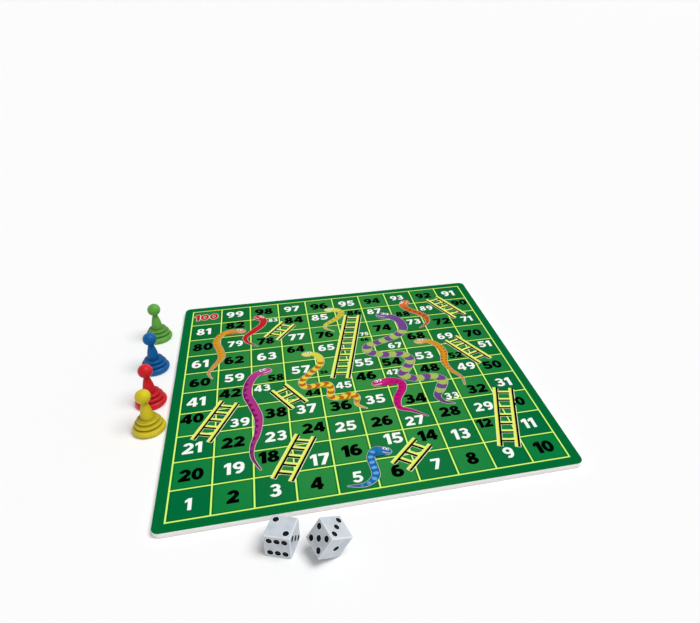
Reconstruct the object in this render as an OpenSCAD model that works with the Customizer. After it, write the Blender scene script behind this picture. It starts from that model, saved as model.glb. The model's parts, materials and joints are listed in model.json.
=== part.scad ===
// Snakes and ladders board with its four pawns and two dice.
// The origin is the middle of the board's underside. X runs along the first row
// of squares, Y from the first row to the last, and Z up. All sizes are in mm.

/* [Board] */
// Side of one square of the game
cell = 26; // [20:0.5:36]
// Plain margin around the squares
margin = 7.4; // [4:0.2:14]
// Radius of the board's corners in plan
corner_r = 5; // [2:0.5:10]
// Thickness of the stiff card in the middle of the board
core_t = 3.6; // [1.6:0.1:4.5]
// Thickness of the paper glued on the face
face_t = 0.2; // [0.1:0.05:0.4]
// Thickness of the paper glued on the back
back_t = 0.2; // [0.1:0.05:0.4]

/* [Print] */
// Thickness of the ink of the squares and their lines
square_ink_t = 0.1; // [0.05:0.05:0.2]
// Thickness of the ink of the numbers, ladders and snakes
figure_ink_t = 0.1; // [0.05:0.05:0.2]
// Width of the lines between the squares
line_w = 1.05; // [0.5:0.05:1.4]

/* [Pawns] */
// Height of a pawn
pawn_h = 34.4; // [28:0.2:42]
// Radius of the widest ring at the foot of a pawn
foot_r = 11.4; // [9:0.1:11.6]
// Height of the foot ring
foot_h = 5.4; // [3.6:0.1:6.5]
// Radius of the middle ring
mid_ring_r = 9.5; // [7.5:0.1:10]
// Height of the middle ring
mid_ring_h = 3.1; // [2:0.1:4]
// Radius of the top ring
top_ring_r = 7.6; // [6:0.1:8]
// Height of the top ring
top_ring_h = 2.8; // [2:0.1:3.6]
// Radius of the body where it leaves the rings
body_r = 4.4; // [3.8:0.1:5.5]
// Radius of the neck under the head
neck_r = 1.9; // [1.6:0.1:3.2]
// Radius of the round head
head_r = 5.3; // [4:0.1:6]
// Wall of the hollow under a pawn
pawn_wall = 1.5; // [1:0.1:2]
// Gap from the board's edge to the foot of the nearest pawn
pawn_gap = 1.5; // [0.5:0.1:10]
// How much farther from the board each pawn behind it stands
pawn_step = 2.45; // [0:0.05:5]

/* [Dice] */
// Side of a die
die_w = 16; // [12:0.5:17]
// Radius of a die's edges
die_edge_r = 0.8; // [0.5:0.1:1.6]
// Diameter of the dimple of a spot
spot_d = 3.7; // [2.6:0.1:4]
// Depth of the dimple of a spot
spot_depth = 0.5; // [0.4:0.1:0.8]
// Thickness of the paint at the bottom of a dimple
paint_t = 0.2; // [0.1:0.05:0.35]
// Bare ring left around the paint in a dimple
paint_gap = 0.2; // [0.1:0.05:0.4]
// Gap from the front of the board to the middle of the first die
die_gap = 21.4; // [16:0.2:60]

/* [Hidden] */

$fn = 48;
// How far a cut runs past the face that it opens
overrun = 0.2;

// Squares in a row, and squares on the board
cells = 10;
squares = cells * cells;

// Outline of the board, and the heights of its layers
board_w = cells * cell + 2 * margin;
core_z = back_t;
face_z = core_z + core_t;
square_z = face_z + face_t;
figure_z = square_z + square_ink_t;

// Place of a point given in squares from the board's first corner
function at(p) = (p - [cells / 2, cells / 2]) * cell;
// Points of an arc of an ellipse, the angles in degrees
function arc(c, r, from, to, steps) =
    [for (i = [0 : steps]) let (a = from + (to - from) * i / steps) c + [r.x * cos(a), r.y * sin(a)]];
// Points of a whole ellipse
function ring(c, r, steps) =
    [for (i = [0 : steps - 1]) c + [r.x * cos(360 * i / steps), r.y * sin(360 * i / steps)]];
// Numbers of the points of each loop, once the loops are laid end to end
function paths(loops, i = 0, first = 0) =
    i == len(loops) ? [] :
    concat([[for (k = [0 : len(loops[i]) - 1]) first + k]], paths(loops, i + 1, first + len(loops[i])));

// The rows run left to right and back again from the bottom, so a number gives its row and column.
function row_of(n) = floor((n - 1) / cells);
function column_of(n) = row_of(n) % 2 == 0 ? (n - 1) % cells : cells - 1 - (n - 1) % cells;

// Height of a digit as a share of a square, and the gap between two digits as a share of the height
digit_share = 0.41;
digit_gap_share = 0.08;
// Width of each digit, 0 to 9, as a share of its height
digit_width_shares = [0.68, 0.42, 0.67, 0.67, 0.72, 0.68, 0.69, 0.66, 0.68, 0.69];
// Loops of a digit as shares of its height, the first one its outline and the others its holes
function six_shares() =
    [concat(arc([0.37, 0.5], [0.37, 0.5], 62, 180, 6),
            arc([0.345, 0.325], [0.345, 0.325], 190, 440, 11),
            arc([0.37, 0.5], [0.14, 0.29], 150, 62, 4)),
     ring([0.345, 0.325], [0.115, 0.125], 10)];
function digit_shares(d) =
    d == 0 ? [ring([0.34, 0.5], [0.34, 0.5], 18), ring([0.34, 0.5], [0.12, 0.29], 12)] :
    d == 1 ? [[[0.17, 0], [0.42, 0], [0.42, 1], [0.2, 1], [0, 0.84], [0, 0.62], [0.17, 0.72]]] :
    d == 2 ? [concat(arc([0.34, 0.67], [0.33, 0.33], 165, -30, 8),
                     [[0.37, 0.22], [0.67, 0.22], [0.67, 0], [0, 0], [0, 0.16]],
                     arc([0.34, 0.67], [0.1, 0.12], -40, 165, 5))] :
    d == 3 ? [concat(arc([0.32, 0.73], [0.31, 0.27], 160, -40, 8),
                     arc([0.32, 0.31], [0.35, 0.31], 40, -160, 8),
                     arc([0.32, 0.31], [0.11, 0.12], -160, 70, 5),
                     [[0.2, 0.43], [0.2, 0.61]],
                     arc([0.32, 0.73], [0.09, 0.09], -70, 160, 5))] :
    d == 4 ? [[[0.4, 0], [0.63, 0], [0.63, 0.19], [0.72, 0.19], [0.72, 0.39], [0.63, 0.39],
               [0.63, 1], [0.36, 1], [0, 0.38], [0, 0.19], [0.4, 0.19]],
              [[0.4, 0.39], [0.22, 0.39], [0.4, 0.7]]] :
    d == 5 ? [concat([[0.08, 1], [0.62, 1], [0.62, 0.79], [0.28, 0.79], [0.27, 0.655]],
                     arc([0.32, 0.335], [0.36, 0.335], 95, -160, 10),
                     arc([0.32, 0.335], [0.13, 0.135], -160, 125, 6),
                     [[0.04, 0.46]])] :
    d == 6 ? six_shares() :
    d == 7 ? [[[0, 1], [0.66, 1], [0.66, 0.8], [0.36, 0], [0.1, 0], [0.38, 0.78], [0, 0.78]]] :
    d == 8 ? [concat(arc([0.34, 0.28], [0.34, 0.28], 60, -240, 12),
                     arc([0.34, 0.745], [0.29, 0.255], 230, -50, 10)),
              ring([0.34, 0.27], [0.115, 0.1], 10),
              ring([0.34, 0.75], [0.09, 0.09], 10)] :
    [for (loop = six_shares()) [for (p = loop) [digit_width_shares[9], 1] - p]];

// How far the strokes of a white and of a black digit reach past the plain ones, as shares of its height
white_bold_share = -0.01;
black_bold_share = 0.02;
// A loop moved outwards by d, whichever way it runs
function area_of(p) =
    let (n = len(p)) [for (i = [0 : n - 1]) cross(p[i], p[(i + 1) % n])] * [for (q = p) 1 / 2];
function unit(v) = v / norm(v);
function spread_point(a, b, c, d) =
    let (before = unit(b - a), after = unit(c - b), m = [before.y + after.y, -before.x - after.x])
        b + d * m * 2 / (m * m);
function spread(p, d) =
    let (n = len(p), out = d * sign(area_of(p)))
        [for (i = [0 : n - 1]) spread_point(p[(i + n - 1) % n], p[i], p[(i + 1) % n], out)];
// The loops of a digit, bolder or finer: its outline grows as its holes shrink
function bold_shares(digit, d) =
    let (loops = digit_shares(digit)) [for (k = [0 : len(loops) - 1]) spread(loops[k], k == 0 ? d : -d)];

// Numbers that make room for a figure: the number, how far it moves across and up as
// shares of a square, and its size as a share of the plain one
moved_shares = [[1, -0.02, -0.03, 0.95], [2, 0, -0.01, 1], [3, 0, -0.03, 1.05], [4, 0, -0.02, 1],
    [5, 0.01, -0.02, 0.95], [6, 0.02, -0.02, 1.05], [7, 0.04, 0, 0.95], [8, 0, 0, 1.05], [9, 0, -0.01, 1],
    [10, 0, 0, 1.05], [11, -0.02, 0, 1], [12, -0.22, 0.27, 0.85], [13, 0, -0.02, 1.05], [14, 0.1, 0.12, 1],
    [15, 0.17, 0.2, 1.05], [16, 0.01, -0.03, 1.05], [17, 0.16, -0.18, 1.05], [18, -0.11, 0.2, 1.05],
    [19, 0.02, -0.03, 1.05], [20, -0.02, -0.03, 1], [21, -0.06, -0.02, 1.05], [22, -0.02, -0.02, 1],
    [23, 0.1, -0.02, 1], [24, 0.12, 0.11, 1], [25, -0.01, -0.02, 1], [26, 0, -0.02, 1],
    [27, -0.09, -0.19, 0.95], [28, -0.02, -0.01, 1], [29, 0, -0.01, 0.95], [30, -0.02, 0, 0.95],
    [31, -0.02, 0, 1], [32, 0.08, -0.15, 1], [33, 0.25, -0.32, 0.75], [34, 0.16, -0.21, 1.05],
    [36, -0.02, -0.08, 1.05], [37, 0, -0.01, 1], [38, 0.14, 0, 1.05], [39, 0.15, -0.21, 0.9],
    [40, -0.14, 0.23, 1], [41, -0.08, 0, 1.05], [42, -0.13, 0.21, 1], [43, -0.2, 0.27, 0.8],
    [44, 0.26, -0.28, 0.7], [45, 0.2, -0.1, 0.8], [46, -0.06, 0.22, 1], [47, -0.22, 0.25, 0.65],
    [48, -0.03, 0.22, 1], [49, 0.13, 0.07, 0.95], [50, -0.03, -0.03, 1], [51, 0.14, 0.2, 0.9],
    [52, -0.02, -0.24, 0.78], [53, -0.02, -0.04, 1], [54, -0.13, -0.18, 1], [55, 0, -0.02, 1],
    [56, -0.3, -0.29, 0.4], [58, 0.22, -0.26, 0.8], [59, -0.02, 0, 1], [60, -0.03, -0.03, 1],
    [61, -0.08, 0, 1.05], [62, -0.04, 0, 1], [63, -0.01, 0, 1.05], [64, -0.07, 0.22, 0.9],
    [65, -0.07, 0.11, 0.9], [66, 0.25, 0.34, 0.45], [67, 0.18, -0.24, 0.8], [68, 0.01, 0.2, 1],
    [69, -0.02, -0.02, 0.9], [70, -0.02, -0.03, 1], [71, 0.07, -0.04, 0.85], [72, 0.15, -0.03, 1],
    [73, 0.16, 0.16, 0.85], [74, -0.02, -0.02, 1], [75, 0.3, -0.3, 0.5], [76, -0.03, -0.05, 0.97],
    [77, 0.02, 0.01, 0.95], [78, -0.02, -0.04, 0.95], [79, -0.01, 0, 0.85], [80, -0.05, 0.02, 1.05],
    [81, -0.07, 0.02, 1], [82, -0.03, 0.25, 1.05], [83, 0.28, 0.33, 0.55], [84, 0, 0.18, 1.05],
    [85, -0.08, 0.18, 1], [86, 0.18, 0.25, 0.85], [87, -0.09, 0.2, 0.9], [88, -0.1, -0.21, 0.85],
    [89, -0.16, 0.03, 0.8], [90, 0.16, 0.18, 0.95], [91, -0.05, -0.01, 1], [92, -0.03, 0.01, 0.95],
    [93, -0.06, 0.05, 0.85], [94, -0.03, 0, 0.95], [96, -0.02, 0, 1.05], [97, -0.02, 0.02, 0.95],
    [98, -0.02, 0.03, 1.05], [99, -0.04, 0.04, 1], [100, -0.03, 0.05, 1]];
function moved(n) =
    let (found = search(n, moved_shares)) len(found) > 0 ? moved_shares[found[0]] : [n, 0, 0, 1];
function digits_of(n) = n < 10 ? [n] : n < squares ? [floor(n / 10), n % 10] : [1, 0, 0];
// Numbers that run in under a ladder, each with the ladder
covered = [[30, 2]];
// Distance from the left end of a number to the left of its digit i, as a share of its height
function reach_share(digits, i) =
    i == 0 ? 0 : reach_share(digits, i - 1) + digit_width_shares[digits[i - 1]] + digit_gap_share;

// Ladders: middle of the foot, middle of the head, both in squares, and the count of rungs
ladder_shares = [[[2.65, 0.81], [3.36, 2.34], 5], [[5.62, 0.62], [6.39, 1.42], 3], [[8.58, 0.73], [9.34, 3.22], 7],
    [[0.62, 2.74], [1.34, 4.3], 5], [[3.35, 3.72], [2.79, 4.7], 3], [[4.63, 4.8], [5.58, 8.6], 11],
    [[9.36, 4.76], [8.64, 6.31], 5], [[9.42, 7.72], [8.75, 9.27], 5], [[2.66, 7.6], [3.29, 8.52], 3]];
// Width over the middles of the rails, width of a rail and of a rung, as shares of a square
ladder_w_share = 0.47;
rail_share = 0.085;
rung_share = 0.07;
// How far the first rung stands from the foot and the last one from the head, and how much
// higher a rung ends on the side that the ladder leans to, as shares of a square
foot_space_share = 0.28;
head_space_share = 0.19;
rung_rise_share = 0.04;

// Snakes: points from the head to the tail in squares, the width of the body as a share of a square,
// and where it starts to grow thin, as a share of the way from head to tail
snake_shares = [
    [[[2.3, 9.1], [2.45, 8.9], [2.38, 8.55], [2.07, 8.17], [1.83, 7.86], [1.88, 7.52], [2.2, 7.21]], 0.23, 0.5],
    [[[1.64, 8.3], [1.3, 8.36], [1, 8.13], [0.88, 7.71], [1.01, 7.17], [1.06, 6.71], [0.84, 6.25], [0.7, 5.91],
      [0.82, 5.6]], 0.22, 0.6],
    [[[4.82, 9.17], [5.08, 9.11], [5.22, 8.82], [4.97, 8.44], [4.59, 8.13], [4.55, 7.86], [4.8, 7.6]], 0.2, 0.5],
    [[[7.65, 9.1], [7.54, 8.88], [7.72, 8.52], [7.99, 8.22], [8.17, 7.86], [8.1, 7.48], [7.78, 7.2]], 0.24, 0.55],
    [[[6.68, 8.32], [6.95, 8.16], [7.18, 7.79], [7.17, 7.25], [6.86, 6.87], [6.33, 6.64], [5.8, 6.41], [5.78, 6.03],
      [6.27, 5.78], [6.79, 5.7], [6.98, 5.32], [6.78, 4.9], [6.58, 4.57], [6.88, 4.28], [7.42, 4.28], [7.7, 4.04],
      [7.55, 3.65], [7.34, 3.27], [7.46, 2.95], [7.72, 2.82]], 0.3, 0.88],
    [[[3.78, 6.35], [4.02, 6.28], [4.16, 6], [4.1, 5.62], [3.74, 5.2], [3.5, 4.88], [3.56, 4.55], [3.9, 4.57],
      [4.24, 4.56], [4.3, 4.24], [4.26, 3.92], [4.5, 3.8], [4.84, 3.92], [5, 3.7], [4.95, 3.38],
      [5.2, 3.14]], 0.21, 0.85],
    [[[2.4, 5.64], [2.1, 5.5], [1.9, 5.03], [1.87, 4.49], [2.02, 3.96], [2.16, 3.35], [2.12, 2.73], [1.98, 2.2],
      [1.98, 1.74], [2.17, 1.27]], 0.25, 0.5],
    [[[7.56, 6.33], [7.84, 6.28], [8.08, 5.95], [8.15, 5.49], [8.03, 4.95], [8.1, 4.49], [8.32, 4.04], [8.3, 3.64]],
     0.23, 0.45],
    [[[5.76, 4.28], [6.08, 4.35], [6.4, 4.2], [6.4, 3.86], [6.16, 3.42], [6.12, 2.98], [6.45, 2.75], [6.82, 2.43]],
     0.25, 0.5],
    [[[5.36, 1.26], [5.12, 1.38], [4.95, 1.12], [4.97, 0.74], [4.95, 0.4], [4.66, 0.18], [4.24, 0.22]], 0.2, 0.65]];
// Half length and half width of a snake's head, and the width of the tip of its tail,
// as shares of the body's width
snake_head_shares = [0.85, 0.68];
tail_share = 0.14;
// Points along the body for each point of the route, and points of the outline of a head
snake_steps = 4;
snake_head_points = 16;

// Point at share t of the way from b to c on a smooth curve through a, b, c and d
function smooth(a, b, c, d, t) =
    (2 * b + (c - a) * t + (2 * a - 5 * b + 4 * c - d) * t * t + (3 * b - a - 3 * c + d) * t * t * t) / 2;
function smooth_route(p) =
    concat([for (i = [0 : len(p) - 2], k = [0 : snake_steps - 1])
                smooth(p[max(i - 1, 0)], p[i], p[i + 1], p[min(i + 2, len(p) - 1)], k / snake_steps)],
           [p[len(p) - 1]]);
// Unit vector across a route at its point i
function across(p, i) =
    let (along = p[min(i + 1, len(p) - 1)] - p[max(i - 1, 0)]) [-along.y, along.x] / norm(along);
// Half width of a snake at share u of its length, as a share of the body's width
function girth_share(u, thin_from) =
    u < thin_from ? 1 / 2 : (1 - (1 - tail_share) * (u - thin_from) / (1 - thin_from)) / 2;

// Profile of a pawn: heights of the rings, the throat above them and the head
mid_ring_z = foot_h;
top_ring_z = mid_ring_z + mid_ring_h;
body_z = top_ring_z + top_ring_h;
head_z = pawn_h - head_r;
// The head starts where its circle is as narrow as the neck
neck_z = head_z - sqrt(head_r * head_r - neck_r * neck_r);
// The groove between two rings, as a share of the radius of the ring above it, and the steps of a round stretch
groove_share = 0.9;
round_steps = 6;
// A ring's rim in profile, bulging between its two grooves
function rim(r, z, h) = arc([r - h / 2, z + h / 2], [h / 2, h / 2], -70, 70, round_steps);
// The body bulges a little on its way from the top ring to the neck
function body_side() =
    [for (i = [0 : round_steps - 1]) let (u = i / round_steps)
        [neck_r + (body_r - neck_r) * cos(90 * u), body_z + (neck_z - body_z) * u]];

// Places of the pawns: share of the board's width along its left side, back pawn first
pawn_place_shares = [0.348, 0.166, -0.004, -0.122];
function pawn_place(i) =
    [-board_w / 2 - foot_r - pawn_gap - (len(pawn_place_shares) - 1 - i) * pawn_step,
     board_w * pawn_place_shares[i]];

// Place of the first die, as a share of the board's width, and its turn in degrees
die_place_share = -0.229;
flat_die_turn = -22;
flat_die_place = [board_w * die_place_share, -board_w / 2 - die_gap];
// From the middle of a die to the middle of the rounding of an edge
die_corner = die_w / 2 - die_edge_r;
// Place of the middle of the second die, seen from the first one, in shares of a die's side
rolling_place_shares = [1.634, -0.629];
rolling_die_place = flat_die_place + die_w * rolling_place_shares;
// Turns of the second die about X, then Y, then Z, which stand it on one corner
rolling_die_turns = [-159.5, -56.5, 3.5];
// Height of its middle once that corner is on the table
rolling_die_z = die_edge_r + die_corner * (abs(sin(rolling_die_turns.y))
    + abs(cos(rolling_die_turns.y) * sin(rolling_die_turns.x))
    + abs(cos(rolling_die_turns.y) * cos(rolling_die_turns.x)));
// Places of the spots on the faces 1 to 6, in steps of spot_pitch from the middle of a face
spot_pitch_share = 0.28;
spot_pitch = die_w * spot_pitch_share;
spot_steps = [[[0, 0]],
    [[-1, 1], [1, -1]],
    [[-1, -1], [0, 0], [1, 1]],
    [[-1, -1], [-1, 1], [1, -1], [1, 1]],
    [[-1, -1], [-1, 1], [0, 0], [1, -1], [1, 1]],
    [[-1, -1], [0, -1], [1, -1], [-1, 1], [0, 1], [1, 1]]];
// Turn that brings each face 1 to 6 from the top of the die to its own side
face_turns = [[-90, 0, 0], [0, 0, 0], [0, 90, 0], [0, -90, 0], [180, 0, 0], [90, 0, 0]];

module board_outline() {
    half = board_w / 2 - corner_r;
    square([board_w, 2 * half], center = true);
    square([2 * half, board_w], center = true);
    for (x = [-half, half], y = [-half, half]) translate([x, y]) circle(corner_r);
}

module layer(z, t) {
    translate([0, 0, z]) linear_extrude(t) children();
}

module core_board() {
    color("gainsboro") layer(core_z, core_t) board_outline();
}

module back_sheet() {
    color("whitesmoke") layer(0, back_t) board_outline();
}

module face_sheet() {
    color("darkgreen") layer(face_z, face_t) board_outline();
}

// Squares whose row and column add up to an even number, or to an odd one with side = 1
module some_squares(side) {
    for (row = [0 : cells - 1], column = [0 : cells - 1])
        if ((row + column) % 2 == side)
            translate(at([column, row]) + [line_w / 2, line_w / 2]) square(cell - line_w);
}

module dark_squares() {
    color("seagreen") layer(square_z, square_ink_t) some_squares(0);
}

module light_squares() {
    color("mediumseagreen") layer(square_z, square_ink_t) some_squares(1);
}

module grid_lines() {
    color("greenyellow") layer(square_z, square_ink_t) difference() {
        square(cells * cell + line_w, center = true);
        some_squares(0);
        some_squares(1);
    }
}

// A number in its square, printed on the ink of the square
module number(n, bold_share) {
    place = moved(n);
    digits = digits_of(n);
    h = cell * digit_share * place[3];
    length_share = reach_share(digits, len(digits)) - digit_gap_share;
    middle = at([column_of(n) + 1 / 2 + place[1], row_of(n) + 1 / 2 + place[2]]);
    layer(figure_z, figure_ink_t) difference() {
        for (i = [0 : len(digits) - 1]) {
            loops = bold_shares(digits[i], bold_share);
            corner = middle + h * [reach_share(digits, i) - length_share / 2, -1 / 2];
            polygon([for (loop = loops) for (p = loop) corner + h * p], paths(loops));
        }
        for (k = search(n, covered)) ladder_cover(covered[k][1]);
    }
}

// The whole strip of the board that a ladder stands on
module ladder_cover(i) {
    foot = at(ladder_shares[i][0]);
    climb = at(ladder_shares[i][1]) - foot;
    strip_w = cell * (ladder_w_share + 2 * rail_share);
    translate(foot) rotate(atan2(climb.y, climb.x)) translate([0, -strip_w / 2]) square([norm(climb), strip_w]);
}

module white_numbers() {
    color("white") for (n = [1 : 2 : squares]) number(n, white_bold_share);
}

module black_numbers() {
    color("black") for (n = [2 : 2 : squares - 1]) number(n, black_bold_share);
}

module red_number() {
    color("red") number(squares, 0);
}

module ladder(i) {
    foot = at(ladder_shares[i][0]);
    head = at(ladder_shares[i][1]);
    rungs = ladder_shares[i][2];
    climb = head - foot;
    span = cell * ladder_w_share;
    rail_w = cell * rail_share;
    rung_w = cell * rung_share;
    rise = cell * rung_rise_share * sign(climb.x) / 2;
    first = cell * foot_space_share;
    last = norm(climb) - cell * head_space_share;
    color("gold") layer(figure_z, figure_ink_t) translate(foot) rotate(atan2(climb.y, climb.x)) {
        for (side = [-1, 1]) translate([0, (side * span - rail_w) / 2]) square([norm(climb), rail_w]);
        for (k = [0 : rungs - 1]) translate([first + (last - first) * k / (rungs - 1), 0])
            polygon([[rise - rung_w / 2, -span / 2], [rise + rung_w / 2, -span / 2],
                     [rung_w / 2 - rise, span / 2], [-rise - rung_w / 2, span / 2]]);
    }
}

// A snake's body is a ribbon along its smooth route, and its head an ellipse at the first point.
module snake(i, tint) {
    route = smooth_route([for (p = snake_shares[i][0]) at(p)]);
    body_w = cell * snake_shares[i][1];
    thin_from = snake_shares[i][2];
    last = len(route) - 1;
    right = [for (k = [0 : last]) route[k] - across(route, k) * body_w * girth_share(k / last, thin_from)];
    left = [for (k = [last : -1 : 0]) route[k] + across(route, k) * body_w * girth_share(k / last, thin_from)];
    nose = route[0] - route[1];
    color(tint) layer(figure_z, figure_ink_t) {
        polygon(concat(right, left));
        translate(route[0]) rotate(atan2(nose.y, nose.x))
            polygon(ring([0, 0], body_w * snake_head_shares, snake_head_points));
    }
}

module pawn_profile() {
    groove_r = mid_ring_r * groove_share;
    throat_r = top_ring_r * groove_share;
    polygon(concat(
        [[foot_r - pawn_wall - foot_h / 2, 0], [foot_r - foot_h / 2, 0]],
        rim(foot_r, 0, foot_h),
        [[groove_r, mid_ring_z]],
        rim(mid_ring_r, mid_ring_z, mid_ring_h),
        [[throat_r, top_ring_z]],
        rim(top_ring_r, top_ring_z, top_ring_h),
        body_side(),
        arc([0, head_z], [head_r, head_r], -acos(neck_r / head_r), 90, 2 * round_steps),
        [[0, body_z - pawn_wall], [body_r - pawn_wall, body_z - pawn_wall],
         [throat_r - pawn_wall, top_ring_z], [groove_r - pawn_wall, mid_ring_z]]));
}

module pawn(i, tint) {
    color(tint) translate(pawn_place(i)) rotate_extrude() pawn_profile();
}

// A plain block with rounded edges and corners, its middle at the origin
module die_block() {
    for (turn = [[0, 0, 0], [90, 0, 0], [0, 90, 0]]) rotate(turn) {
        cube([2 * die_corner, 2 * die_corner, die_w], center = true);
        for (x = [-die_corner, die_corner], y = [-die_corner, die_corner])
            translate([x, y, -die_corner]) cylinder(h = 2 * die_corner, r = die_edge_r);
    }
    for (x = [-die_corner, die_corner], y = [-die_corner, die_corner], z = [-die_corner, die_corner])
        translate([x, y, z]) sphere(die_edge_r);
}

// Puts what is drawn for one spot at every spot of a die, with the face at z = 0
module at_spots() {
    for (face = [0 : 5]) rotate(face_turns[face])
        for (spot = spot_steps[face]) translate([spot.x * spot_pitch, spot.y * spot_pitch, die_w / 2]) children();
}

module die() {
    difference() {
        die_block();
        at_spots() translate([0, 0, -spot_depth]) cylinder(h = spot_depth + overrun, d = spot_d);
    }
}

module spots() {
    at_spots() translate([0, 0, -spot_depth]) cylinder(h = paint_t, d = spot_d - 2 * paint_gap);
}

// The first die lies flat.
module place_flat() {
    translate([flat_die_place.x, flat_die_place.y, die_w / 2]) rotate(flat_die_turn) children();
}

// The second die is caught as it tumbles over one corner.
module place_rolling() {
    translate([rolling_die_place.x, rolling_die_place.y, rolling_die_z])
        rotate(rolling_die_turns) children();
}

module flat_die() {
    color("lightsteelblue") place_flat() die();
}

module flat_die_spots() {
    color("black") place_flat() spots();
}

module rolling_die() {
    color("lightsteelblue") place_rolling() die();
}

module rolling_die_spots() {
    color("black") place_rolling() spots();
}

core_board();
back_sheet();
face_sheet();
dark_squares();
light_squares();
grid_lines();
white_numbers();
black_numbers();
red_number();
ladder(0);  // ladder_3_24
ladder(1);  // ladder_6_14
ladder(2);  // ladder_9_31
ladder(3);  // ladder_21_42
ladder(4);  // ladder_37_43
ladder(5);  // ladder_45_86
ladder(6);  // ladder_50_69
ladder(7);  // ladder_71_92
ladder(8);  // ladder_78_84
snake(0, "crimson");  // snake_98_78
snake(1, "darkorange");  // snake_82_60
snake(2, "yellow");  // snake_96_76
snake(3, "orangered");  // snake_93_73
snake(4, "darkorchid");  // snake_87_28
snake(5, "orange");  // snake_64_35
snake(6, "mediumvioletred");  // snake_58_18
snake(7, "darkorange");  // snake_68_32
snake(8, "deeppink");  // snake_46_27
snake(9, "dodgerblue");  // snake_15_5
pawn(0, "limegreen");  // green_pawn
pawn(1, "royalblue");  // blue_pawn
pawn(2, "red");  // red_pawn
pawn(3, "gold");  // yellow_pawn
flat_die();
flat_die_spots();
rolling_die();
rolling_die_spots();
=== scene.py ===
"""Snakes and ladders board with its four pawns and two dice, laid out on a white table."""

import json
import math

import bpy
from mathutils import Euler, Matrix, Vector

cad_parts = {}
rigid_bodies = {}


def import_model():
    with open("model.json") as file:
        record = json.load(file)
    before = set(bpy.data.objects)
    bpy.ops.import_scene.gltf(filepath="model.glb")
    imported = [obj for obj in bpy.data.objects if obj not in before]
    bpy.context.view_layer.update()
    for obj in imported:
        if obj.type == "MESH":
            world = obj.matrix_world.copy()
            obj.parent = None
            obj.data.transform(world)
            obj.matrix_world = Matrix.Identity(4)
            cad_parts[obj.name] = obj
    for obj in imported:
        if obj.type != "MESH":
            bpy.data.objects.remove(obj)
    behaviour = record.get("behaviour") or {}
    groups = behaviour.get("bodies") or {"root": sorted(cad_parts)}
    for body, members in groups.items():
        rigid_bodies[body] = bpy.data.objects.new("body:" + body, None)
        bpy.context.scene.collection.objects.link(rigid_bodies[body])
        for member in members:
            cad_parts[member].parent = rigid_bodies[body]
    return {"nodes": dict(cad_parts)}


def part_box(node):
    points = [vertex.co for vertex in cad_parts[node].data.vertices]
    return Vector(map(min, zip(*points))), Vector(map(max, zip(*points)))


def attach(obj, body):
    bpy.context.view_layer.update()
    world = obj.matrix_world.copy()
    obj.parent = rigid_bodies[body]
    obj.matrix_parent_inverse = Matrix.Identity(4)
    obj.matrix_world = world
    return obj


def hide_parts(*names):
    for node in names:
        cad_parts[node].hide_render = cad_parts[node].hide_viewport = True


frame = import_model()
bpy.ops.object.select_all(action="DESELECT")
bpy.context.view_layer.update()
mm = 0.001

# CAMERA
# The board is seen from low in front, a little to the right of its left side. The
# picture is a crop off the lens's middle, which the small shift stands for.
camera_spot = (-53.5 * mm, -428.6 * mm, 301.7 * mm)
camera_heading, camera_pitch, camera_roll = -13.63, 63.15, 0.66
bpy.ops.object.camera_add(location=camera_spot)
camera = bpy.context.object
camera.name = "camera"
camera.matrix_world = (
    Matrix.Translation(camera_spot)
    @ Matrix.Rotation(math.radians(camera_heading), 4, "Z")
    @ Matrix.Rotation(math.radians(camera_pitch), 4, "X")
    @ Matrix.Rotation(math.radians(camera_roll), 4, "Z")
)
camera.data.lens = 32.8
camera.data.sensor_width = 36.0
camera.data.shift_x = -0.0886
camera.data.shift_y = -0.0379
camera.data.clip_start = 10 * mm
bpy.context.scene.camera = camera

# TABLE AND LIGHT
# A white table top in a white room. One broad light stands high on the right, a little
# in front, so tops and right faces are bright and the shadows fall softly to the left.
bpy.context.scene.view_settings.view_transform = "Standard"

table_w, table_drop = 24.0, 0.05 * mm
bpy.ops.mesh.primitive_plane_add(size=table_w, location=(0, 0, -table_drop))
table = bpy.context.object
table.name = "table"
table_paint = bpy.data.materials.new("table_white")
table_paint.use_nodes = True
table_coat = table_paint.node_tree.nodes["Principled BSDF"]
table_coat.inputs["Base Color"].default_value = (0.97, 0.97, 0.97, 1)
table_coat.inputs["Roughness"].default_value = 0.8
table_coat.inputs["Specular IOR Level"].default_value = 0.1
table.data.materials.append(table_paint)

bpy.ops.object.light_add(type="SUN", location=(0, 0, 1))
lamp = bpy.context.object
lamp.name = "window_light"
lamp.data.energy = 2.3
lamp.data.angle = math.radians(35)
lamp_elevation, lamp_heading = 62, 62
lamp.rotation_euler = (math.radians(90 - lamp_elevation), 0, math.radians(lamp_heading))


def feed(tree, socket, value):
    """Puts a number or a colour on a socket, or links another node's output to it."""
    if isinstance(value, bpy.types.NodeSocket):
        tree.links.new(value, socket)
    else:
        socket.default_value = value


def calc(tree, operation, *values):
    """Output of a Math node."""
    sums = tree.nodes.new("ShaderNodeMath")
    sums.operation = operation
    for socket, value in zip(sums.inputs, values):
        feed(tree, socket, value)
    return sums.outputs["Value"]


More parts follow.
